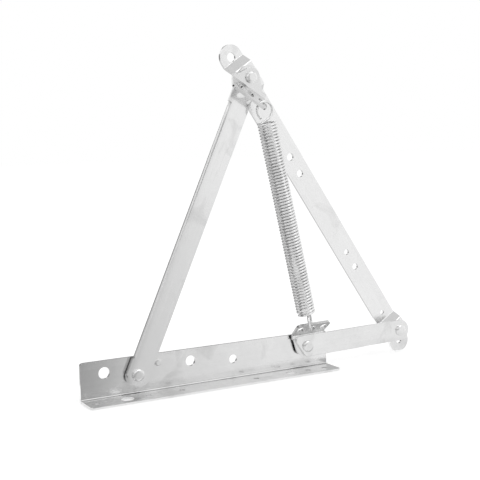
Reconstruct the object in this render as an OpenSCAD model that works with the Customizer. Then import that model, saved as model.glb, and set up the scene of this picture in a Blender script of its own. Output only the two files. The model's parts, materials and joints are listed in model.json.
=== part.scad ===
// Spring-assisted sofa bed hinge: a base rail, two long arms and a short link
// that form a four-bar linkage, with a tension spring hung between two hooked plates.
// Origin: left end of the rail, front face of its upright flange, level with its underside.
// X runs along the rail, Y away from the viewer, Z up.

/* [Sheet metal] */
// Thickness of every plate and of the rail
plate_t = 2.5; // [2:0.1:3]
// Inside radius of the pressed bends
bend_r = 1.5; // [1:0.1:2.5]
// Free play left at each turning face
side_play = 0.1; // [0.05:0.01:0.2]

/* [Base rail] */
// Length of the rail
rail_len = 274; // [262:1:320]
// Height of the upright flange
rail_h = 38; // [36:0.5:46]
// Depth of the foot flange, from the front face to its free edge
foot_w = 27; // [24:0.5:34]
// Corner radius of both flanges
rail_corner = 3; // [1:0.5:6]
// Height of the upright mounting holes at the left and in the middle
rail_hole_z = 26; // [23:0.5:28]
// Radius of the large hole at the left of the upright flange
left_hole_r = 5.7; // [4:0.1:6.5]
// Radius of the middle hole of the upright flange
mid_hole_r = 5.2; // [4:0.1:6]
// Radius of the lower hole of the upright flange
low_hole_r = 4.4; // [3:0.1:5]
// Radius of the screw holes in the foot
screw_r = 2.6; // [2:0.1:3]
// Distance of the screw row from the front face of the upright flange
screw_row = 15.5; // [14:0.5:17]
// Radius of the large foot hole at the left
slot_r_left = 6.5; // [5:0.1:7]
// Radius of the large foot hole at the right
slot_r_right = 5; // [4:0.1:6.5]

/* [Linkage] */
// Distance of the left arm's pivot from the rail's left end
pivot_a_x = 56.6; // [52:0.5:60]
// Height of the left arm's pivot
pivot_a_z = 20.4; // [19:0.1:23]
// Distance of the link's pivot from the rail's left end
pivot_d_x = 246; // [242:0.5:248]
// Height of the link's pivot
pivot_d_z = 25.7; // [24:0.1:27]
// Left arm between its two pivots
arm_len = 308; // [304:0.5:313]
// Right arm between its two pivots
strap_len = 328.7; // [326:0.1:332]
// Link between its two pivots
link_len = 121; // [118:0.5:124]
// Angle of the left arm above the rail at rest
arm_angle = 65.7; // [64:0.1:67]
// Radius of the rivet shanks
shank_r = 3.5; // [3:0.1:4]
// Running clearance between a shank and its hole
shank_play = 0.05; // [0.03:0.01:0.08]
// Radius of the rivet heads
head_r = 6; // [5.5:0.1:7]
// Height of the rivet heads
head_h = 2.8; // [2:0.1:4]
// Radius of the peened rivet tails
tail_r = 5; // [4.5:0.1:5.5]
// Height of the peened rivet tails
tail_h = 2; // [1.5:0.1:2.5]
// Radius of the washers
washer_r = 7; // [6:0.1:8]
// Thickness of the washers
washer_t = 1; // [0.8:0.1:1.5]

/* [Left arm] */
// Width of the left arm
arm_w = 24; // [22:0.5:25]
// Depth of the stiffening lip along its outer edge, with the plate
lip_h = 5; // [4.5:0.1:6]
// Reach of the arm below its lower pivot
arm_tail = 10.5; // [10:0.5:12]
// Radius of the stop stud
stud_r = 3.7; // [3:0.1:4]
// Distance of the stud up the arm from its lower pivot
stud_up = 17.4; // [16:0.1:19]

/* [Right arm] */
// Width of the right arm
strap_w = 25; // [23:0.5:26]
// Forward offset of the two raised ends
joggle = 9; // [7:0.1:10]
// Distance of the upper lug hole beyond the pivot
lug_reach = 24; // [23:0.5:26]
// Radius of the upper lug hole
lug_hole_r = 4.7; // [4:0.1:5]
// Distance of the lower lobe hole beyond the pivot
lobe_reach = 18.7; // [18:0.1:19.5]
// Radius of the lower lobe hole
lobe_hole_r = 3.4; // [3:0.1:4]

/* [Link] */
// Width of the link
link_w = 22.5; // [21:0.5:24]

/* [Spring plates] */
// Length of the 45 degree flange, from its corner to its free edge
flange_len = 17; // [16:0.5:18]
// Distance of the hole row from the corner
flange_row = 9.75; // [9.4:0.05:10]
// Spacing of the hooking holes
hook_pitch = 14; // [13.5:0.1:14.5]
// Radius of the hooking holes
hook_hole_r = 4.1; // [3.8:0.05:4.4]

/* [Spring] */
// Wire diameter
wire_d = 2.5; // [2:0.1:2.6]
// Outside diameter of the coil
coil_od = 19.5; // [18.5:0.1:20]
// Number of turns
coil_turns = 66; // [50:1:68]
// Rise of one turn
coil_pitch = 3.03; // [3:0.01:3.06]
// Distance of the coil's axis in front of the rail
spring_y = 13.2; // [13:0.1:13.6]

/* [Hidden] */

$fn = 48;
steel = "gainsboro";
bright_steel = "silver";
bore_r = shank_r + shank_play;
arc_steps = 8;
corner_steps = 10;
overcut = 1;

// Rail: hole places along X, and how far its two outlines reach past each other in the bend
left_hole_x = 23.8;
mid_hole_x = 114;
low_hole_x = 161.6;
low_hole_z = 21.6;
screw_x = [10, 61.7, 97, 179.4, 241, 261];
large_x = [40.4, 220.6];
bend_overlap = 10;

// Left arm: where its lip starts and ends, and the length of the lip's slanted ends
lip_from = 14;
lip_to = arm_len - 30;
lip_fade = 14;
lip_stub = 0.2;
end_flat = 4;

// Right arm: each raised end runs from a foot through a slope of the same length
strap_holes = [[96, 4], [117, 3.75], [221, 3], [241, 3.5], [306, 2.5]];
slope = 7;
raised_top = [-11.5, 14];
raised_foot = [-14, 6];

// Link: corner cut and corner radii of its left end
link_back_end = 13.2;
link_cut_x = -2.4;
link_cut_z = 6;
link_corners = [5, 3, 4];

// Depths of the stack, counted from the front face of the rail towards the viewer
arm_back = washer_t + side_play;
arm_front = arm_back + plate_t;
raised_front = washer_t;
strap_front = raised_front - joggle;
bracket_back = arm_front + washer_t + side_play;
bracket_front = bracket_back + plate_t;
spacer_d_t = 2.5;
anchor_back = spacer_d_t + side_play;
link_back = anchor_back + plate_t;
link_front = link_back + plate_t;
spacer_c_t = link_back - raised_front - side_play;
tail_a = -plate_t - washer_t;
tail_b = raised_front - plate_t - washer_t - side_play;

// Closed four-bar: the right arm and the link meet at pivot C
function polar(r, a) = r * [cos(a), sin(a)];
function spin(v, a) = [v.x * cos(a) - v.y * sin(a), v.x * sin(a) + v.y * cos(a)];
function unit(v) = v / norm(v);
function angle_of(v) = atan2(v.y, v.x);
pivot_a = [pivot_a_x, pivot_a_z];
pivot_d = [pivot_d_x, pivot_d_z];
pivot_b = pivot_a + polar(arm_len, arm_angle);
bd = pivot_d - pivot_b;
bd_foot = (strap_len ^ 2 - link_len ^ 2 + norm(bd) ^ 2) / (2 * norm(bd));
pivot_c = pivot_b + unit(bd) * bd_foot + spin(unit(bd), 90) * sqrt(strap_len ^ 2 - bd_foot ^ 2);
strap_angle = angle_of(pivot_c - pivot_b);
link_angle = angle_of(pivot_c - pivot_d);

// Stop stud, touching the inner edge of the left arm
stud_at = pivot_a + polar(stud_up, arm_angle) + polar(arm_w / 2 + stud_r + side_play / 2, arm_angle - 90);
stud_proud = 4;
stud_shank_r = 2.2;
stud_tail_h = 1.2;

// Spring plates
flange_turn = 45;
bracket_bend = 10;
bracket_tilt = -32.4;
bracket_end_r = 9.5;
bracket_left = 17.5;
bracket_right = 23.5;
bracket_holes = [for (i = [0:2]) 5.1 + (i - 1) * hook_pitch];
anchor_bend = 13;
anchor_end_r = 10;
anchor_left = 16.5;
anchor_right = 20.8;
anchor_holes = [for (i = [0:2]) 3.6 + (i - 1) * hook_pitch];
flange_flare = 4;
flange_root = 4;
flange_corner = 4;

// Spring: the axis leans from above the anchor to the bracket's third hole
coil_r = (coil_od - wire_d) / 2;
axis_angle = 102.7;
axis_up = polar(1, axis_angle);
axis_side = polar(1, axis_angle - 90);
hook_foot = pivot_d + [-1.5, 20];
lower_hook_h = 7;
lower_hook_side = 2.5;
lower_hook_turn = 40;
coil_start_h = 16.6;
coil_end_h = coil_start_h + coil_turns * coil_pitch;
coil_first = 180;
hook_first = 75;
loop_first = 212;
loop_sweep = 287;
hook_sweep = 300;
rings_per_turn = 8;
loop_rings = 24;
wire_sides = 6;
joint_handle = 4.5;
joint_rings = 7;

// Upper loop: face-on, its wire through the bracket's third hole
loop_r = 8.9;
loop_slide = -0.1;
loop_hang = -59;
loop_lean = [-0.5, 0.5];
hook_drop = spring_y - bracket_back - plate_t / 2;
bracket_hook = pivot_b + spin([bracket_holes[2] + loop_slide, -bracket_bend - hook_drop], bracket_tilt);
upper_loop = bracket_hook + polar(loop_r, loop_hang);

// Corner-rounded outline: each corner of a convex polygon becomes an arc of its own radius
function corner_arc(a, b, c, r) =
    let (
        d0 = unit(a - b), d1 = unit(c - b),
        half = acos(d0 * d1) / 2,
        centre = b + unit(d0 + d1) * r / sin(half),
        start = b + d0 * r / tan(half) - centre,
        turn = (d0.x * d1.y - d0.y * d1.x > 0 ? -1 : 1) * (180 - 2 * half)
    )
    [for (i = [0:corner_steps]) centre + spin(start, turn * i / corner_steps)];

module rounded(p, radii) {
    n = len(p);
    polygon([
        for (i = [0:n - 1]) each radii[i] > 0
            ? corner_arc(p[(i + n - 1) % n], p[i], p[(i + 1) % n], radii[i])
            : [p[i]]
    ]);
}

// Bent strip: a centre line with equal bends, thickened to both sides
function left_of(d) = [-d.y, d.x];
function bend_arc(a, b, c, r, off) =
    let (
        d0 = unit(b - a), d1 = unit(c - b),
        side = d0.x * d1.y - d0.y * d1.x > 0 ? 1 : -1,
        turn = acos(d0 * d1),
        toward = side * left_of(d0),
        centre = b - d0 * r * tan(turn / 2) + toward * r
    )
    [for (i = [0:arc_steps]) centre - spin(toward, side * turn * i / arc_steps) * (r - side * off)];
function strip_side(p, r, off) =
    let (n = len(p)) [
        p[0] + left_of(unit(p[1] - p[0])) * off,
        for (i = [1:1:n - 2]) each bend_arc(p[i - 1], p[i], p[i + 1], r, off),
        p[n - 1] + left_of(unit(p[n - 1] - p[n - 2])) * off
    ];
function reversed(p) = [for (i = [len(p) - 1:-1:0]) p[i]];

module strip(p) {
    r = bend_r + plate_t / 2;
    polygon(concat(strip_side(p, r, plate_t / 2), reversed(strip_side(p, r, -plate_t / 2))));
}

// Places a flat outline upright, its front face at the given depth
module upright(front, t = plate_t) {
    translate([0, t - front, 0]) rotate([90, 0, 0]) linear_extrude(t) children();
}

// Runs a profile of depth and height along X
module along_x(from, to) {
    translate([from, 0, 0]) rotate([90, 0, 90]) linear_extrude(to - from) children();
}

// Puts a piece that is drawn about its own pivot at that pivot, turned
module at_pivot(p, a = 0) {
    translate([p.x, 0, p.y]) rotate([0, -a, 0]) children();
}

module crosswise(p, from, to, r) {
    translate([p.x, -from, p.y]) rotate([90, 0, 0]) cylinder(r = r, h = to - from);
}

module ring_washer(p, from, to, r, hole) {
    difference() {
        crosswise(p, from, to, r);
        crosswise(p, from - overcut, to + overcut, hole);
    }
}

// Button head with a low dome and a broken edge, its seat at the given depth
module button_head(p, seat, r = head_r, h = head_h) {
    wall = h * 0.72;
    edge = 0.5;
    translate([p.x, -seat, p.y]) rotate([90, 0, 0]) rotate_extrude()
        polygon([
            [0, 0], [r, 0], [r, wall - edge], [r - edge * 0.3, wall - edge * 0.3],
            [r - edge, wall], [r * 0.72, h - 0.15], [r * 0.4, h], [0, h]
        ]);
}

// Peened tail: flat against its seat, with a crowned back
module peened_tail(p, seat, r = tail_r, h = tail_h) {
    translate([p.x, seat, p.y]) rotate([-90, 0, 0]) rotate_extrude()
        polygon([[0, 0], [r, 0], [r, h * 0.35], [r * 0.9, h * 0.7], [r * 0.6, h * 0.95], [0, h]]);
}

// Rail

module base_rail() {
    color(steel) difference() {
        intersection() {
            along_x(0, rail_len)
                strip([[-foot_w, plate_t / 2], [plate_t / 2, plate_t / 2], [plate_t / 2, rail_h]]);
            union() {
                upright(0, plate_t + overcut) rounded(
                    [[0, -bend_overlap], [rail_len, -bend_overlap], [rail_len, rail_h], [0, rail_h]],
                    [0, 0, rail_corner, rail_corner]
                );
                translate([0, 0, -overcut]) linear_extrude(rail_h / 2) rounded(
                    [[0, -foot_w], [rail_len, -foot_w], [rail_len, bend_overlap], [0, bend_overlap]],
                    [rail_corner, rail_corner, 0, 0]
                );
            }
        }
        for (h = [
            [[left_hole_x, rail_hole_z], left_hole_r],
            [[mid_hole_x, rail_hole_z], mid_hole_r],
            [[low_hole_x, low_hole_z], low_hole_r],
            [pivot_a, bore_r], [pivot_d, bore_r], [stud_at, stud_shank_r + shank_play]
        ]) crosswise(h[0], -plate_t - overcut, overcut, h[1]);
        for (x = screw_x) foot_hole(x, screw_r);
        foot_hole(large_x[0], slot_r_left);
        foot_hole(large_x[1], slot_r_right);
    }
}

module foot_hole(x, r) {
    translate([x, -screw_row, -overcut]) cylinder(r = r, h = plate_t + 2 * overcut);
}

module stop_stud() {
    color(bright_steel) {
        button_head(stud_at, 0, stud_r, stud_proud);
        crosswise(stud_at, -plate_t, 0, stud_shank_r);
        peened_tail(stud_at, plate_t, stud_r, stud_tail_h);
    }
}

// Left arm: a flat bar with a lip pressed forward along its outer edge

module left_arm() {
    half = arm_w / 2;
    root = bend_r + plate_t;
    color(steel) at_pivot(pivot_a, arm_angle) difference() {
        union() {
            upright(arm_front) difference() {
                union() {
                    rounded(
                        [[-arm_tail, -half], [arm_len, -half], [arm_len, half], [-arm_tail, half]],
                        [half - end_flat, 0, 0, half - end_flat]
                    );
                    translate([arm_len, 0]) circle(r = half);
                }
                translate([lip_from, half - root]) square([lip_to - lip_from, root + overcut]);
            }
            intersection() {
                along_x(lip_from, lip_to) strip([
                    [-arm_back - plate_t / 2, half - root - overcut],
                    [-arm_back - plate_t / 2, half - plate_t / 2],
                    [-arm_back - lip_h, half - plate_t / 2]
                ]);
                translate([0, 0, -half]) linear_extrude(arm_w) polygon([
                    [lip_from, 0], [lip_from, -arm_front - lip_stub],
                    [lip_from + lip_fade, -arm_back - lip_h], [lip_to - lip_fade, -arm_back - lip_h],
                    [lip_to, -arm_front - lip_stub], [lip_to, 0]
                ]);
            }
        }
        crosswise([0, 0], 0, arm_front + overcut, bore_r);
        crosswise([arm_len, 0], 0, arm_front + overcut, shank_r);
    }
}

// Right arm: a flat strap joggled forward round both of its pivots

joggle_path = [
    [-lug_reach - strap_w, 0],
    [raised_top[0] - slope, 0], [raised_top[0], 1], [raised_top[1], 1], [raised_top[1] + slope, 0],
    [strap_len + raised_foot[0], 0], [strap_len + raised_foot[0] + slope, 1],
    [strap_len + raised_foot[1], 1], [strap_len + raised_foot[1] + slope, 0],
    [strap_len + lobe_reach + strap_w, 0]
];

module right_arm() {
    half = strap_w / 2;
    color(steel) at_pivot(pivot_b, strap_angle) difference() {
        intersection() {
            translate([0, 0, -half]) linear_extrude(strap_w)
                strip([for (q = joggle_path) [q.x, plate_t / 2 - strap_front - joggle * q.y]]);
            upright(strap_w, 2 * strap_w) {
                translate([-lug_reach, -half]) square([lug_reach + strap_len + lobe_reach, strap_w]);
                translate([-lug_reach, 0]) circle(r = half);
                translate([strap_len + lobe_reach, 0]) circle(r = half);
            }
        }
        for (h = concat(
            [[0, bore_r], [strap_len, shank_r], [-lug_reach, lug_hole_r], [strap_len + lobe_reach, lobe_hole_r]],
            strap_holes
        )) crosswise([h[0], 0], -strap_w, strap_w, h[1]);
    }
}

// Link: its left end is cut back at the lower corner to clear the foot as it turns

module bottom_link() {
    half = link_w / 2;
    color(steel) at_pivot(pivot_d, link_angle) difference() {
        upright(link_front) {
            rounded(
                [
                    [link_cut_x, -half], [link_len, -half], [link_len, half],
                    [-link_back_end, half], [-link_back_end, link_cut_z]
                ],
                [link_corners[0], 0, 0, link_corners[2], link_corners[1]]
            );
            translate([link_len, 0]) circle(r = half);
        }
        crosswise([0, 0], link_back - overcut, link_front + overcut, bore_r);
        crosswise([link_len, 0], link_back - overcut, link_front + overcut, shank_r);
    }
}

// Spring plates: a flat end about the pivot and a flange bent 45 degrees forward

module spring_plate(back, bend_off, outline, radii, left, right, holes) {
    corner = [-back - plate_t / 2, bend_off];
    tip = corner + flange_len * polar(1, 90 + flange_turn);
    slab = 3 * plate_t;
    difference() {
        intersection() {
            along_x(-left, right + flange_flare) strip([corner - [0, rail_h], corner, tip]);
            union() {
                upright(back + plate_t + overcut, plate_t + 2 * overcut) rounded(outline, radii);
                translate([0, corner.x, corner.y]) rotate([flange_turn - 90, 0, 0])
                    translate([0, 0, -slab / 2]) linear_extrude(slab) flange_outline(left, right);
            }
        }
        translate([0, corner.x, corner.y]) rotate([flange_turn, 0, 0])
            for (x = holes) translate([x, slab / 2, flange_row]) rotate([90, 0, 0])
                cylinder(r = hook_hole_r, h = slab);
    }
}

// Outline of the bent flange, in its own plane
module flange_outline(left, right) {
    mirror([0, 1]) rounded(
        [[-left, -flange_root], [right, -flange_root], [right + flange_flare, flange_len], [-left, flange_len]],
        [0, 0, flange_corner, flange_corner]
    );
}

module spring_bracket() {
    r = bracket_end_r;
    b = bracket_bend;
    color(bright_steel) at_pivot(pivot_b, bracket_tilt) mirror([0, 0, 1]) difference() {
        spring_plate(
            bracket_back, b,
            [[-bracket_left, b + overcut], [-r / 2, -r], [r / 2, -r], [bracket_right, b + overcut]],
            [0, r * 0.8, r * 0.8, 0], bracket_left, bracket_right, bracket_holes
        );
        crosswise([0, 0], bracket_back - overcut, bracket_front + overcut, bore_r);
    }
}

module spring_anchor() {
    r = anchor_end_r;
    b = anchor_bend;
    color(bright_steel) at_pivot(pivot_d, link_angle) difference() {
        spring_plate(
            anchor_back, b,
            [[-anchor_left, b + overcut], [-r, -r], [r, -r], [anchor_right, b + overcut]],
            [0, r * 0.9, r * 0.9, 0], anchor_left, anchor_right, anchor_holes
        );
        crosswise([0, 0], anchor_back - overcut, link_back + overcut, bore_r);
    }
}

// Rivets, washers and spacers

module rivet(p, seat, back, r = head_r, h = head_h) {
    color(bright_steel) {
        button_head(p, seat, r, h);
        crosswise(p, back, seat, shank_r);
    }
}

module rivet_a() {
    rivet(pivot_a, arm_front + side_play, tail_a);
    color(bright_steel) peened_tail(pivot_a, -tail_a);
}

module rivet_b() {
    rivet(pivot_b, bracket_front + side_play, tail_b);
    color(bright_steel) peened_tail(pivot_b, -tail_b);
}

// Rivet C turns with the link; its peened tail is fast in the right arm
module rivet_c() {
    rivet(pivot_c, link_front, link_back - spacer_c_t);
}

module rivet_c_tail() {
    color(bright_steel) {
        crosswise(pivot_c, raised_front - plate_t, raised_front, shank_r);
        peened_tail(pivot_c, plate_t - raised_front, tail_r, tail_h);
    }
}

module rivet_d() {
    rivet(pivot_d, link_front + side_play, tail_a);
    color(bright_steel) peened_tail(pivot_d, -tail_a);
}

module washer_a() { color(bright_steel) ring_washer(pivot_a, 0, washer_t, washer_r, bore_r); }
module washer_b() {
    color(bright_steel) ring_washer(pivot_b, arm_front, arm_front + washer_t, washer_r, bore_r);
}
module spacer_c() {
    color(bright_steel) ring_washer(pivot_c, link_back - spacer_c_t, link_back, washer_r, bore_r);
}
module spacer_d() { color(bright_steel) ring_washer(pivot_d, 0, spacer_d_t, washer_r, bore_r); }
module tail_washer_a() {
    color(bright_steel) ring_washer(pivot_a, tail_a, -plate_t, washer_r, bore_r);
}
module tail_washer_b() {
    color(bright_steel) ring_washer(pivot_b, tail_b, tail_b + washer_t, washer_r, bore_r);
}
module tail_washer_d() {
    color(bright_steel) ring_washer(pivot_d, tail_a, -plate_t, washer_r, bore_r);
}

// Spring: one unbroken wire with a face-on loop above and an edge-on hook below

// A point given along the leaning axis, to its side, and away from the viewer
function spring_point(h, side, depth) =
    let (q = hook_foot + axis_up * h + axis_side * side) [q.x, depth - spring_y, q.y];

// Smooth joint between two runs, with equal handles
function blend_run(p0, t0, p1, t1, handle, n) = [
    for (i = [1:n - 1]) let (s = i / n, k = 1 - s)
        k ^ 3 * p0 + 3 * k ^ 2 * s * (p0 + t0 * handle)
            + 3 * k * s ^ 2 * (p1 - t1 * handle) + s ^ 3 * p1
];

upper_centre = upper_loop - hook_foot;
upper_h = upper_centre * axis_up;
upper_side = upper_centre * axis_side;
function upper_at(a, depth) = spring_point(upper_h + loop_r * sin(a), upper_side + loop_r * cos(a), depth);
function coil_at(a, h) = spring_point(h, coil_r * cos(a), coil_r * sin(a));
function hook_at(a) = spring_point(
    lower_hook_h + coil_r * sin(a),
    lower_hook_side + coil_r * cos(a) * sin(lower_hook_turn), coil_r * cos(a) * cos(lower_hook_turn)
);

upper_run = [
    for (i = [0:loop_rings]) let (s = i / loop_rings)
        upper_at(loop_first - loop_sweep * s, loop_lean[0] + (loop_lean[1] - loop_lean[0]) * s)
];
coil_rings = coil_turns * rings_per_turn;
coil_run = [
    for (i = [0:coil_rings]) let (s = i / coil_rings)
        coil_at(coil_first - coil_turns * 360 * s, coil_end_h - coil_turns * coil_pitch * s)
];
hook_run = [for (i = [0:loop_rings]) hook_at(hook_first - hook_sweep * i / loop_rings)];
function end_dir(p) = let (n = len(p)) unit(p[n - 1] - p[n - 2]);
function start_dir(p) = unit(p[1] - p[0]);
function joined(p, q) =
    blend_run(p[len(p) - 1], end_dir(p), q[0], start_dir(q), joint_handle, joint_rings);

wire_path = concat(
    [upper_run[0] - start_dir(upper_run) * wire_d],
    upper_run,
    joined(upper_run, coil_run),
    coil_run,
    joined(coil_run, hook_run),
    hook_run,
    [hook_run[loop_rings] + end_dir(hook_run) * wire_d]
);

// Frames carried along the wire without twist
function wire_dir(i) =
    let (n = len(wire_path))
    unit(wire_path[min(i + 1, n - 1)] - wire_path[max(i - 1, 0)]);
wire_sides_dirs = [
    for (
        i = 0, v = unit(cross(wire_dir(0), [0.3, 1, 0.2]));
        i < len(wire_path);
        i = i + 1,
        v = i < len(wire_path) ? unit(v - wire_dir(i) * (v * wire_dir(i))) : v
    ) v
];

module spring() {
    n = len(wire_path);
    r = wire_d / 2;
    echo(least_gap = least_gap());
    points = [
        for (i = [0:n - 1], k = [0:wire_sides - 1])
            let (v = wire_sides_dirs[i], w = cross(wire_dir(i), v), a = k * 360 / wire_sides)
                wire_path[i] + (v * cos(a) + w * sin(a)) * r
    ];
    function at(i, k) = i * wire_sides + k % wire_sides;
    faces = [
        for (i = [0:n - 2], k = [0:wire_sides - 1]) each [
            [at(i, k), at(i + 1, k), at(i + 1, k + 1)],
            [at(i, k), at(i + 1, k + 1), at(i, k + 1)]
        ],
        for (k = [1:wire_sides - 2]) each [
            [at(0, 0), at(0, k), at(0, k + 1)],
            [at(n - 1, 0), at(n - 1, k + 1), at(n - 1, k)]
        ]
    ];
    color(bright_steel) polyhedron(points, faces);
}

// Least distance between two runs of the wire, less its thickness; points nearer along it don't count
next_run = 6;
function least_gap() = min([
    for (i = [0:len(wire_path) - next_run - 1], j = [i + next_run:len(wire_path) - 1])
        norm(wire_path[i] - wire_path[j])
]) - wire_d;

base_rail();
stop_stud();
left_arm();
right_arm();
bottom_link();
spring_bracket();
spring_anchor();
spring();
rivet_a();
rivet_b();
rivet_c();
rivet_c_tail();
rivet_d();
washer_a();
washer_b();
spacer_c();
spacer_d();
tail_washer_a();
tail_washer_b();
tail_washer_d();
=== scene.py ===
import bpy, bmesh, json, math
from mathutils import Matrix, Vector

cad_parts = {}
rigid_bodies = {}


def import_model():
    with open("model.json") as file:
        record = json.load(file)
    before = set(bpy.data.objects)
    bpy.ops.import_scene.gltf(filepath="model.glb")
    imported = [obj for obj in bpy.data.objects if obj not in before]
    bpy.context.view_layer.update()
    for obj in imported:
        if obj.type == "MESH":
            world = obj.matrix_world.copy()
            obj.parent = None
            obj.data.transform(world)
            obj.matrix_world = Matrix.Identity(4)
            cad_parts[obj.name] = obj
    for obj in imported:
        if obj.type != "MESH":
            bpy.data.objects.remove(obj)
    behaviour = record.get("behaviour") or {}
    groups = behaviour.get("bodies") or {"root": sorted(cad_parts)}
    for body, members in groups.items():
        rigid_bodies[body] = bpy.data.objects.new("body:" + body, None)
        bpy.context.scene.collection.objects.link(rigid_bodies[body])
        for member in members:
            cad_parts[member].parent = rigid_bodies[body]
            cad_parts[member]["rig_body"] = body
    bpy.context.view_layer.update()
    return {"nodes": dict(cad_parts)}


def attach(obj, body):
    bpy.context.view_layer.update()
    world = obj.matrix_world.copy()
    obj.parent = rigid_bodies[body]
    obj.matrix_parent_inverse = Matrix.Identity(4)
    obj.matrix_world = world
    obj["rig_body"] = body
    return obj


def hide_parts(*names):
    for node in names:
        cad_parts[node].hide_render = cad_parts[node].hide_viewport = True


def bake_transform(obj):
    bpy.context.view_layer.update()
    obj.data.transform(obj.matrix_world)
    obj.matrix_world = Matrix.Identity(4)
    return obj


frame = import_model()
nodes = frame["nodes"]
print("frame loaded:", len(nodes), "CAD nodes")

mm = 0.001
bpy.context.scene.view_settings.view_transform = "Standard"


# Shader maths: a socket that can be added, multiplied and compared like a number
class Sock:
    def __init__(self, tree, socket):
        self.tree, self.socket = tree, socket

    def maths(self, operation, *others, swap=False):
        values = [self, *others]
        if swap:
            values[0], values[1] = values[1], values[0]
        return self.tree.node("ShaderNodeMath", {"operation": operation}, values)

    def __add__(self, other):
        return self.maths("ADD", other)

    def __mul__(self, other):
        return self.maths("MULTIPLY", other)

    def __sub__(self, other):
        return self.maths("SUBTRACT", other)

    def __rsub__(self, other):
        return self.maths("SUBTRACT", other, swap=True)

    def __gt__(self, other):
        return self.maths("GREATER_THAN", other)

    __radd__, __rmul__ = __add__, __mul__

    def size(self):
        return self.maths("ABSOLUTE")

    def clamp(self):
        return self.tree.node("ShaderNodeClamp", {}, {"Value": self})


# The node tree of a material or world: one method makes every node but the output
class Finish:
    def __init__(self, owner, outKind="ShaderNodeOutputMaterial"):
        owner.use_nodes = True
        self.owner, self.nodeTree = owner, owner.node_tree
        self.nodeTree.nodes.clear()
        self.out = self.nodeTree.nodes.new(outKind)

    def node(self, kind, settings, inputs, output=0):
        made = self.nodeTree.nodes.new(kind)
        for key, value in settings.items():
            if key == "stops":
                ramp = made.color_ramp
                while len(ramp.elements) < len(value):
                    ramp.elements.new(0.5)
                for element, (place, tone) in zip(ramp.elements, value):
                    element.position, element.color = place, (tone, tone, tone, 1)
            else:
                setattr(made, key, value)
        pairs = inputs.items() if isinstance(inputs, dict) else enumerate(inputs)
        for key, value in pairs:
            socket = made.inputs[key]
            if isinstance(value, Sock):
                self.nodeTree.links.new(value.socket, socket)
            else:
                socket.default_value = value
        return Sock(self, made.outputs[output])

    def axes(self, vector, *names):
        return [self.node("ShaderNodeSeparateXYZ", {}, {"Vector": vector}, name) for name in names]

    # 1 where the camera, a mirror or glass looks, 0 where light falls
    def looking(self):
        rays = ("Is Camera Ray", "Is Glossy Ray", "Is Transmission Ray")
        camera, glossy, through = (self.node("ShaderNodeLightPath", {}, {}, ray) for ray in rays)
        return (camera + glossy + through).clamp()

    def finishWith(self, shader):
        self.nodeTree.links.new(shader.socket, self.out.inputs["Surface"])
        return self.owner


# Camera: the photograph's viewpoint, found from the rail, pivots and holes
cameraSet = {
    "place": (-306.7 * mm, -858.8 * mm, 253.8 * mm),
    "yaw": 29.13,
    "pitch": 6.54,
    "roll": -0.98,
    "focalPixels": 993.6,
    "framePixels": 480,
    "sensor": 36.0,
    "clip": (0.01, 100),
}


def makeCamera(s):
    yaw, pitch, roll = (math.radians(s[k]) for k in ("yaw", "pitch", "roll"))
    forward = Vector((math.sin(yaw) * math.cos(pitch), math.cos(yaw) * math.cos(pitch), -math.sin(pitch)))
    right = Vector((math.cos(yaw), -math.sin(yaw), 0))
    up = right.cross(forward)
    right, up = right * math.cos(roll) + up * math.sin(roll), up * math.cos(roll) - right * math.sin(roll)
    data = bpy.data.cameras.new("photoCamera")
    data.sensor_width = s["sensor"]
    data.lens = s["focalPixels"] / s["framePixels"] * s["sensor"]
    data.clip_start, data.clip_end = s["clip"]
    camera = bpy.data.objects.new("photoCamera", data)
    turn = Matrix((right, up, -forward)).transposed().to_4x4()
    camera.matrix_world = Matrix.Translation(s["place"]) @ turn
    bpy.context.scene.collection.objects.link(camera)
    bpy.context.scene.camera = camera


makeCamera(cameraSet)
print("camera set")

# Studio: white ground and background, one large soft lamp, and grey cards that only the metal sees
studio = {
    "groundSize": 12.0,
    "groundColour": 0.80,
    "groundGlow": 0.42,
    "worldLevel": 0.80,
    "keyPower": 6.0,
    "keySize": 1.4,
    "keyPlace": (0.9, -1.6, 1.7),
    "aim": (0.19, 0, 0.15),
    "arcSteps": 48,
}

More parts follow.
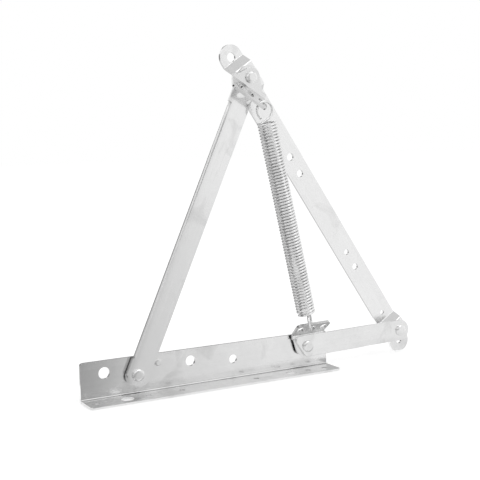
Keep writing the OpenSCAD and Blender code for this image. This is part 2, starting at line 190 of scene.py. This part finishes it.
# Cards: edges are degrees round the object from the front, positive to the right, and the tones' places
# are degrees round the card's turn. Floor cards give their x0, y0, x1, y1, discs their x, y and radius.
viewMirror = (-0.307, 0.859)  # the camera's place mirrored in the plates, which the front tones turn round
middle = (0.19, 0.0)
behind = (0.19, 4.0)
cards = [
    {"name": "frontScrim", "edges": (8, 70), "radius": 2.2, "rise": (0.002, 2.0), "turn": viewMirror,
     "tones": {8: 0.38, 19: 0.38, 21: 0.49, 23: 0.70, 26: 0.88, 29: 0.91, 33: 0.90, 60: 0.88}},
    {"name": "leftScrim", "edges": (-50, 8), "radius": 2.2, "rise": (0.002, 0.60), "turn": middle,
     "tones": {-50: 0.65, -38: 0.46, -20: 0.42, 8: 0.40}},
    {"name": "frontApron", "floor": (-1.8, -2.1, 2.2, -0.029), "height": 0.0015, "turn": viewMirror,
     "tones": {-50: 0.80, 0: 0.78, 12: 0.56, 19: 0.33, 21: 0.45, 23: 0.64, 26: 0.76, 29: 0.82, 33: 0.88,
               60: 0.88}},
    {"name": "underCard", "floor": (0.235, -0.024, 0.33, 0.045), "height": 0.0015, "tone": 0.42},
    {"name": "eyeCard", "floor": (0.345, -0.075, 0.45, 0.012), "height": 0.002, "tone": 0.80},
    {"name": "leftApron", "floor": (-1.4, -0.35, -0.06, 0.45), "height": 0.0012, "turn": middle,
     "tones": {-120: 0.60, -110: 0.04, -84: 0.04, -74: 0.75}},
    {"name": "leftCurtain", "edges": (-120, -76), "radius": 1.6, "rise": (0.002, 2.8), "turn": middle,
     "tones": {-120: 0.45, -110: 0.03, -84: 0.03, -76: 0.45}},
    {"name": "backCurtain", "edges": (-178, -130), "radius": 1.7, "rise": (0.002, 0.80), "turn": middle,
     "tones": {-178: 0.30, -168: 0.20, -136: 0.20, -130: 0.4}},
    {"name": "backScrim", "edges": (128, 180), "radius": 1.7, "rise": (0.002, 1.5), "turn": middle,
     "tones": {128: 0.80, 142: 0.58, 150: 0.41, 158: 0.30, 168: 0.24, 180: 0.24}},
    {"name": "backApron", "floor": (-1.6, 0.06, 2.0, 2.2), "height": 0.001, "turn": behind,
     "tones": {-40: 0.86, -14: 0.72, 0: 0.62, 14: 0.72, 40: 0.86}},
    {"name": "ceilingCard", "disc": (0.19, 0.0, 3.0), "height": 2.0, "tone": 0.65},
]


def addObject(name, mesh):
    made = bpy.data.objects.new(name, mesh)
    bpy.context.scene.collection.objects.link(made)
    return made


def newMesh(bm, name):
    mesh = bpy.data.meshes.new(name)
    bm.to_mesh(mesh)
    bm.free()
    return mesh


def makeWorld(s):
    finish = Finish(bpy.data.worlds.new("studioWorld"), "ShaderNodeOutputWorld")
    level = finish.looking() * (1 - s["worldLevel"]) + s["worldLevel"]
    sky = finish.node("ShaderNodeBackground", {}, {"Color": (1, 1, 1, 1), "Strength": level})
    bpy.context.scene.world = finish.finishWith(sky)


def makeGround(s):
    bm = bmesh.new()
    bmesh.ops.create_grid(bm, x_segments=1, y_segments=1, size=s["groundSize"] / 2)
    mesh = newMesh(bm, "ground")
    finish = Finish(bpy.data.materials.new("groundPaper"))
    paper = finish.node("ShaderNodeBsdfDiffuse", {}, {"Color": (*[s["groundColour"]] * 3, 1)})
    glow = finish.node("ShaderNodeEmission", {}, {"Color": (1, 1, 1, 1), "Strength": s["groundGlow"]})
    both = finish.node("ShaderNodeAddShader", {}, [paper, glow])
    mixed = finish.node("ShaderNodeMixShader", {}, [finish.looking(), paper, both])
    mesh.materials.append(finish.finishWith(mixed))
    addObject("ground", mesh)


def makeLamp(s):
    lamp = bpy.data.lights.new("keyLamp", "AREA")
    lamp.energy, lamp.size = s["keyPower"], s["keySize"]
    key = addObject("keyLamp", lamp)
    aim = Vector(s["aim"]) - Vector(s["keyPlace"])
    key.matrix_world = Matrix.Translation(s["keyPlace"]) @ aim.to_track_quat("-Z", "Y").to_matrix().to_4x4()


# The emission of a card: one tone, or tones graded by the angle round its turn
def cardFinish(card):
    finish = Finish(bpy.data.materials.new(card["name"]))
    if "tone" in card:
        return finish.finishWith(finish.node("ShaderNodeEmission", {}, {"Color": (*[card["tone"]] * 3, 1)}))
    angles = list(card["tones"])
    first, last = angles[0], angles[-1]
    place = finish.node("ShaderNodeMapping", {}, {
        "Vector": finish.node("ShaderNodeTexCoord", {}, {}, "Object"),
        "Location": (-card["turn"][0], -card["turn"][1], 0)})
    x, y = finish.axes(place, "X", "Y")
    across = finish.node("ShaderNodeMapRange", {}, {
        "Value": x.maths("ARCTAN2", 0 - y), "From Min": math.radians(first), "From Max": math.radians(last)})
    stops = [((angle - first) / (last - first), tone) for angle, tone in card["tones"].items()]
    graded = finish.node("ShaderNodeValToRGB", {"stops": stops}, {"Fac": across})
    return finish.finishWith(finish.node("ShaderNodeEmission", {}, {"Color": graded}))


# A card is an upright arc round the object, a sheet on the floor or a disc overhead
def makeCard(card, s):
    bm = bmesh.new()
    if "edges" in card:
        first, last = (math.radians(edge - 90) for edge in card["edges"])
        centre = Vector((*s["aim"][:2], 0))
        out = Vector((math.cos(first), math.sin(first), 0)) * card["radius"]
        ends = [bm.verts.new(centre + out + Vector((0, 0, z))) for z in card["rise"]]
        bmesh.ops.spin(bm, geom=[*ends, bm.edges.new(ends)], cent=centre, axis=(0, 0, 1), angle=last - first,
                       steps=s["arcSteps"])
    elif "floor" in card:
        x0, y0, x1, y1 = card["floor"]
        corners = ((x0, y0), (x1, y0), (x1, y1), (x0, y1))
        bm.faces.new([bm.verts.new((x, y, card["height"])) for x, y in corners])
    else:
        x, y, radius = card["disc"]
        bmesh.ops.create_circle(bm, cap_ends=True, segments=s["arcSteps"], radius=radius,
                                matrix=Matrix.Translation((x, y, card["height"])))
    mesh = newMesh(bm, card["name"])
    mesh.materials.append(cardFinish(card))
    made = addObject(card["name"], mesh)
    made.visible_camera = made.visible_diffuse = made.visible_shadow = made.visible_transmission = False


makeWorld(studio)
makeGround(studio)
makeLamp(studio)
for card in cards:
    makeCard(card, studio)
print("studio set")


# Where the linkage stands at rest, in millimetres and degrees: the same sizes as the CAD
linkage = {
    "pivotA": (56.6, 20.4),
    "pivotB": (183.346, 301.112),
    "armAngle": 65.7,
    "strapAngle": -56.04,
    "linkAngle": 1.32,
    "bracketTilt": -32.4,
}


def aimed(length, degrees):
    return Vector((length * math.cos(math.radians(degrees)), length * math.sin(math.radians(degrees))))


# Zinc on sheet steel: faint clouds, streaks along the rolling direction, hair scratches, and rubbed rims
# that are smoother and carry a painted highlight.
# Sizes are counts per metre, tones are shares of the colour, and shares say how much stays clean.
zinc = {
    "colour": 0.80,
    "roughness": 0.27,
    "cloudSize": 26.0, "cloudTone": 0.055, "cloudRough": 0.16,
    "spangleSize": 150.0, "spangleTone": 0.030, "spangleDepth": 0.35,
    "streakAlong": 5.0, "streakAcross": 260.0, "streakTone": 0.045, "streakRough": 0.10, "streakDepth": 0.5,
    "smudgeSize": 34.0, "smudgeShare": 0.57, "smudgeEdge": 7.0, "smudgeTone": 0.13,
    "hairAlong": 9.0, "hairAcross": 420.0, "hairTurn": 0.22, "hairWidth": 0.012, "hairEdge": 80.0,
    "scratchPatch": 38.0, "scratchShare": 0.56, "scratchTone": 0.06, "scratchRough": 0.12,
    "scratchDepth": 0.25,
    "grainSize": 900.0, "grainDepth": 0.12,
    # the rims' tone is a painted highlight on the broken edges; their lower roughness is real
    "rimPaintedShading": 0.10, "rimRoughness": 0.10,
    "bumpStrength": 0.10, "bumpDistance": 0.6 * mm,
}

# Painted shade on the left arm beside its lip, whose root lies at that height once the arm is laid flat, and
# on the lip's front rim, and painted shade on the rail's foot and fold
paintedLipShade = {"at": -33.69 * mm, "width": 8 * mm, "tone": 0.16, "below": 4.8 * mm, "rimFrom": 5.7 * mm,
            "rimPaintedShading": 0.09}
paintedFootShade = {"top": 4.2 * mm, "tone": 0.15, "foldFrom": -2.6 * mm, "foldPaintedShade": 0.08}


def makeZinc(name, grainAngle, lipPaintedShade=None, foot=None, **changes):
    s = {**zinc, **changes}
    finish = Finish(bpy.data.materials.new(name))
    coords = finish.node("ShaderNodeTexCoord", {}, {}, "Object")
    laid = finish.node("ShaderNodeMapping", {}, {
        "Vector": coords, "Rotation": (0, math.radians(grainAngle), 0)})

    def noise(scale, detail, rough=0.5, vector=coords, warp=0.0):
        return finish.node("ShaderNodeTexNoise", {}, {
            "Vector": vector, "Scale": scale, "Detail": detail, "Roughness": rough, "Distortion": warp},
            "Fac")

    def stretched(along, across, turn=0.0):
        return finish.node("ShaderNodeMapping", {}, {
            "Vector": laid, "Rotation": (0, turn, 0), "Scale": (along, across, across)})

    cloud = noise(s["cloudSize"], 4, 0.55, warp=0.6) - 0.5
    spangle = noise(s["spangleSize"], 2, 0.6) - 0.5
    streak = noise(1.0, 3, 0.6, stretched(s["streakAlong"], s["streakAcross"])) - 0.5
    hair = noise(1.0, 1, 0.4, stretched(s["hairAlong"], s["hairAcross"], s["hairTurn"]), warp=0.3) - 0.5
    scratch = ((s["hairWidth"] - hair.size()) * s["hairEdge"]).clamp()
    scratch = scratch * (noise(s["scratchPatch"], 2) > s["scratchShare"])
    smudge = ((noise(s["smudgeSize"], 3, 0.5, warp=0.8) - s["smudgeShare"]) * s["smudgeEdge"]).clamp()
    rim = finish.node("ShaderNodeAttribute", {"attribute_name": "rim"}, {}, "Fac")

    shade = 1 + cloud * s["cloudTone"] * 2 + spangle * s["spangleTone"] * 2 + streak * s["streakTone"] * 2
    # rim adds a painted highlight on the broken edges
    shade = shade - smudge * s["smudgeTone"] - scratch * s["scratchTone"] + rim * s["rimPaintedShading"]
    if lipPaintedShade:
        # painted shade on the arm beside its lip, fading in across its width, and painted shade on the lip's
        # front rim
        depth = 0 - finish.axes(coords, "Y")[0]
        across = finish.axes(laid, "Z")[0] - lipPaintedShade["at"]
        shadow = ((across + lipPaintedShade["width"]) * (1 / lipPaintedShade["width"])).clamp()
        shadow = shadow * (lipPaintedShade["below"] - depth > 0)
        shade = shade - shadow * shadow * shadow * lipPaintedShade["tone"]
        shade = shade - (depth > lipPaintedShade["rimFrom"]) * lipPaintedShade["rimPaintedShading"]
    if foot:
        # painted shade: the rail darker below the foot's top, and darker again in the fold
        y, z = finish.axes(coords, "Y", "Z")
        low = foot["top"] - z > 0
        shade = shade - low * foot["tone"] - low * (y > foot["foldFrom"]) * foot["foldPaintedShade"]
    roughness = s["roughness"] + cloud * s["cloudRough"] + streak * s["streakRough"]
    roughness = roughness + scratch * s["scratchRough"] - rim * s["rimRoughness"]
    height = streak * s["streakDepth"] + spangle * s["spangleDepth"] - scratch * s["scratchDepth"]
    bump = finish.node("ShaderNodeBump", {}, {
        "Strength": s["bumpStrength"], "Distance": s["bumpDistance"],
        "Height": height + noise(s["grainSize"], 2) * s["grainDepth"]})
    grey = (shade * s["colour"]).clamp()
    metal = finish.node("ShaderNodeBsdfPrincipled", {}, {
        "Base Color": finish.node("ShaderNodeCombineColor", {}, [grey, grey, grey]), "Metallic": 1.0,
        "Roughness": roughness.clamp(), "Normal": bump})
    return finish.finishWith(metal)


materials = {
    "base": makeZinc("zincRail", 0, foot=paintedFootShade, cloudSize=42.0, cloudTone=0.08),
    "leftArm": makeZinc("zincLeftArm", linkage["armAngle"], lipPaintedShade=paintedLipShade, colour=0.83),
    "rightArm": makeZinc("zincRightArm", linkage["strapAngle"], roughness=0.30, colour=0.85),
    "link": makeZinc("zincLink", linkage["linkAngle"], roughness=0.29, cloudTone=0.07),
    # the bracket's and anchor's zinc is darker: painted shade for their flanges, which face down
    "hookPlate": makeZinc("zincHookPlate", linkage["bracketTilt"], roughness=0.33, colour=0.76),
    "rivet": makeZinc("zincRivet", 0, roughness=0.32, streakTone=0.0, cloudSize=90.0),
    # the wire's zinc is lighter: painted light that lifts the coil against the shade between its turns
    "wire": makeZinc("zincWire", 0, roughness=0.25, streakTone=0.0, cloudSize=60.0, colour=0.92),
}
print("finishes made:", len(materials))

# Sheet and rivet pieces: the CAD shapes with their doubles merged and every sharp edge broken.
# Each takes a finish, an edge and a material slot.
edging = {"plate": 0.35 * mm, "rivet": 0.25 * mm, "washer": 0.12 * mm, "segments": 2, "sharpFrom": 38.0,
          "smoothTo": 52, "flatWithin": 0.5, "merge": 0.002 * mm}
dressing = {
    "base_rail": ("base", "plate", "plate_zinc"),
    "left_arm": ("leftArm", "plate", "plate_zinc"),
    "right_arm": ("rightArm", "plate", "plate_zinc"),
    "bottom_link": ("link", "plate", "plate_zinc"),
    "spring_bracket": ("hookPlate", "plate", "hook_plate"),
    "spring_anchor": ("hookPlate", "plate", "hook_plate"),
    "stop_stud": ("rivet", "rivet", "rivet_steel"),
    "rivet_a": ("rivet", "rivet", "rivet_steel"),
    "rivet_b": ("rivet", "rivet", "rivet_steel"),
    "rivet_c": ("rivet", "rivet", "rivet_steel"),
    "rivet_c_tail": ("rivet", "rivet", "rivet_steel"),
    "rivet_d": ("rivet", "rivet", "rivet_steel"),
    "washer_a": ("rivet", "washer", "rivet_steel"),
    "washer_b": ("rivet", "washer", "rivet_steel"),
    "spacer_c": ("rivet", "washer", "rivet_steel"),
    "spacer_d": ("rivet", "washer", "rivet_steel"),
    "tail_washer_a": ("rivet", "washer", "rivet_steel"),
    "tail_washer_b": ("rivet", "washer", "rivet_steel"),
    "tail_washer_d": ("rivet", "washer", "rivet_steel"),
}

# The left arm's lip as the press leaves it: full height down to the round end, with a thin rounded rim.
# In millimetres: from, fade and tail run along the arm from pivot A, edge, root and rimInside across it.
lip = {"from": 14.0, "fade": 14.0, "stub": 0.2, "plateFront": 3.6, "front": 6.1, "back": 1.2,
       "edge": 12.0, "root": 9.5, "rimInside": 10.7, "wall": 0.6, "tailEnd": -2.5, "tailCut": 3.5,
       "overlap": 1.0, "skin": 0.05, "rootReach": 2.0}


def dressLip(bm, s):
    along = aimed(1, linkage["armAngle"])
    outward = Vector((-along.y, along.x))
    pivot = Vector(linkage["pivotA"])
    height = s["front"] - s["plateFront"]
    for vert in bm.verts:
        place = Vector((vert.co.x, vert.co.z)) / mm - pivot
        t, across, depth = place.dot(along), place.dot(outward), -vert.co.y / mm
        if depth < s["plateFront"] + s["skin"] or across < s["root"] - s["rootReach"]:
            continue  # not on the lip
        climb = min(1, max(0, (t - s["from"]) / s["fade"]))
        top = s["stub"] + (height - s["stub"]) * climb
        raised = depth - s["plateFront"]
        if t < s["from"] + s["fade"]:
            raised = min(height, raised * height / top)
        inward = max(0, s["rimInside"] - across) * raised / height if across < s["edge"] - s["wall"] else 0
        vert.co.y = -(s["plateFront"] + raised) * mm
        vert.co.x += outward.x * inward * mm
        vert.co.z += outward.y * inward * mm

    # the tail past the lip's start: a slab as thick as the plate, then drawn in to the rim
    def spots(inside, cut, depth):
        start = s["from"] + s["overlap"]
        corners = ((s["tailEnd"], s["edge"]), (start, s["edge"]), (start, inside),
                   (s["tailEnd"] - cut, inside))
        flat = [pivot + along * t + outward * v for t, v in corners]
        return [Vector((q.x, -depth, q.y)) * mm for q in flat]

    base = bm.faces.new([bm.verts.new(q) for q in spots(s["root"], s["tailCut"], s["back"])])
    face, tail = base, set(base.verts)
    for ring in (spots(s["root"], s["tailCut"], s["plateFront"]),
                 spots(s["rimInside"], s["tailCut"] / 2, s["front"])):
        grown = bmesh.ops.extrude_face_region(bm, geom=[face])["geom"]
        if face is not base:
            bm.faces.remove(face)
        face = next(part for part in grown if isinstance(part, bmesh.types.BMFace))
        for vert, place in zip(face.verts, ring):
            vert.co = place
        tail.update(face.verts)
    bmesh.ops.recalc_face_normals(bm, faces=list({side for vert in tail for side in vert.link_faces}))


def breakEdges(nodeName, finishName, edgeKind, slotName):
    bm = bmesh.new()
    bm.from_mesh(nodes[nodeName].data)
    bmesh.ops.remove_doubles(bm, verts=bm.verts, dist=edging["merge"])
    if nodeName == "left_arm":
        dressLip(bm, lip)
    bmesh.ops.dissolve_limit(bm, angle_limit=math.radians(edging["flatWithin"]), verts=bm.verts,
                             edges=bm.edges)
    turned = math.radians(edging["sharpFrom"])
    sharp = [e for e in bm.edges if e.is_manifold and e.calc_face_angle(0) > turned]
    flat = set(bm.faces)
    bmesh.ops.bevel(bm, geom=sharp, offset=edging[edgeKind], offset_type="OFFSET", profile=0.5,
                    segments=edging["segments"], affect="EDGES", clamp_overlap=True, material=-1)
    rim = bm.faces.layers.float.new("rim")
    for face in bm.faces:
        face[rim] = 0.0 if face in flat else 1.0
        face.smooth = True
    mesh = newMesh(bm, nodeName + "_dressed")
    mesh.set_sharp_from_angle(angle=math.radians(edging["smoothTo"]))
    mesh.materials.append(materials[finishName])
    made = addObject(nodeName + "_dressed", mesh)
    weigh = made.modifiers.new("flatFaces", "WEIGHTED_NORMAL")
    weigh.keep_sharp = True
    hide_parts(nodeName)
    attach(made, nodes[nodeName]["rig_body"])


for nodeName, choice in dressing.items():
    breakEdges(nodeName, *choice)
print("plates and rivets dressed:", len(dressing))

# Spring: one wire from the loop in the bracket, through the coil, to the hook in the anchor.
# In millimetres and degrees, with heights above hookFoot along the spring's axis.
spring = {
    "wire": 2.5, "coilRadius": 8.5, "turns": 66, "pitch": 3.03, "depth": 13.2,
    "axisAngle": 102.7, "hookFoot": (244.5, 45.7), "hookHeight": 7.0, "hookSide": 2.5, "hookTurn": 40.0,
    "coilStart": 16.6, "coilFirst": 180.0, "hookFirst": 75.0, "hookSweep": 300.0,
    "loopFirst": 212.0, "loopSweep": 287.0, "loopRadius": 8.9, "loopHang": -59.0, "loopLean": (-0.5, 0.5),
    "holeAlong": 19.0, "holeBeyond": 17.25, "handle": 4.5, "joint": 9, "perTurn": 22, "perLoop": 56,
    "roundness": 3,
}


def springRoute(s):
    foot, up, side = Vector(s["hookFoot"]), aimed(1, s["axisAngle"]), aimed(1, s["axisAngle"] - 90)

    def place(h, across, depth):
        q = foot + up * h + side * across
        return Vector((q.x, depth - s["depth"], q.y))

    def join(p, q, n):
        start, ahead, end, onward = p[-1], (p[-1] - p[-2]).normalized(), q[0], (q[1] - q[0]).normalized()
        run = []
        for i in range(1, n):
            t, k = i / n, 1 - i / n
            run.append(k ** 3 * start + 3 * k * k * t * (start + ahead * s["handle"])
                       + 3 * k * t * t * (end - onward * s["handle"]) + t ** 3 * end)
        return run

    tilt = linkage["bracketTilt"]
    hole = Vector(linkage["pivotB"]) + aimed(s["holeAlong"], tilt) + aimed(s["holeBeyond"], tilt - 90)
    centre = hole + aimed(s["loopRadius"], s["loopHang"]) - foot
    loop = []
    for i in range(s["perLoop"] + 1):
        share = i / s["perLoop"]
        across, rise = aimed(s["loopRadius"], s["loopFirst"] - s["loopSweep"] * share)
        lean = s["loopLean"][0] + (s["loopLean"][1] - s["loopLean"][0]) * share
        loop.append(place(centre.dot(up) + rise, centre.dot(side) + across, lean))
    coil = []
    count = s["turns"] * s["perTurn"]
    for i in range(count + 1):
        share = i / count
        across, depth = aimed(s["coilRadius"], s["coilFirst"] - s["turns"] * 360 * share)
        coil.append(place(s["coilStart"] + s["turns"] * s["pitch"] * (1 - share), across, depth))
    hook = []
    for i in range(s["perLoop"] + 1):
        reach, rise = aimed(s["coilRadius"], s["hookFirst"] - s["hookSweep"] * i / s["perLoop"])
        across, depth = aimed(reach, 90 - s["hookTurn"])
        hook.append(place(s["hookHeight"] + rise, s["hookSide"] + across, depth))
    first = loop[0] - (loop[1] - loop[0]).normalized() * s["wire"]
    last = hook[-1] + (hook[-1] - hook[-2]).normalized() * s["wire"]
    return [first, *loop, *join(loop, coil, s["joint"]), *coil, *join(coil, hook, s["joint"]), *hook, last]


def makeSpring(s):
    route = springRoute(s)
    curve = bpy.data.curves.new("springWire", "CURVE")
    curve.dimensions, curve.twist_mode = "3D", "MINIMUM"
    curve.bevel_depth, curve.bevel_resolution, curve.use_fill_caps = s["wire"] / 2 * mm, s["roundness"], True
    run = curve.splines.new("POLY")
    run.points.add(len(route) - 1)
    for point, at in zip(run.points, route):
        point.co = (*(at * mm), 1)
    bent = addObject("springCurve", curve)
    bpy.context.view_layer.update()
    mesh = bpy.data.meshes.new_from_object(bent.evaluated_get(bpy.context.evaluated_depsgraph_get()))
    bpy.data.objects.remove(bent)
    bpy.data.curves.remove(curve)
    bm = bmesh.new()
    bm.from_mesh(mesh)
    bmesh.ops.remove_doubles(bm, verts=bm.verts, dist=edging["merge"])
    bmesh.ops.recalc_face_normals(bm, faces=bm.faces)
    for face in bm.faces:
        face.smooth = len(face.verts) == 4
    bm.to_mesh(mesh)
    bm.free()
    mesh.materials.clear()
    mesh.materials.append(materials["wire"])
    made = addObject("tensionSpring", mesh)
    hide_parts("spring")
    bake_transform(made)
    print("spring wire:", len(route), "points,", len(mesh.polygons), "faces")


makeSpring(spring)
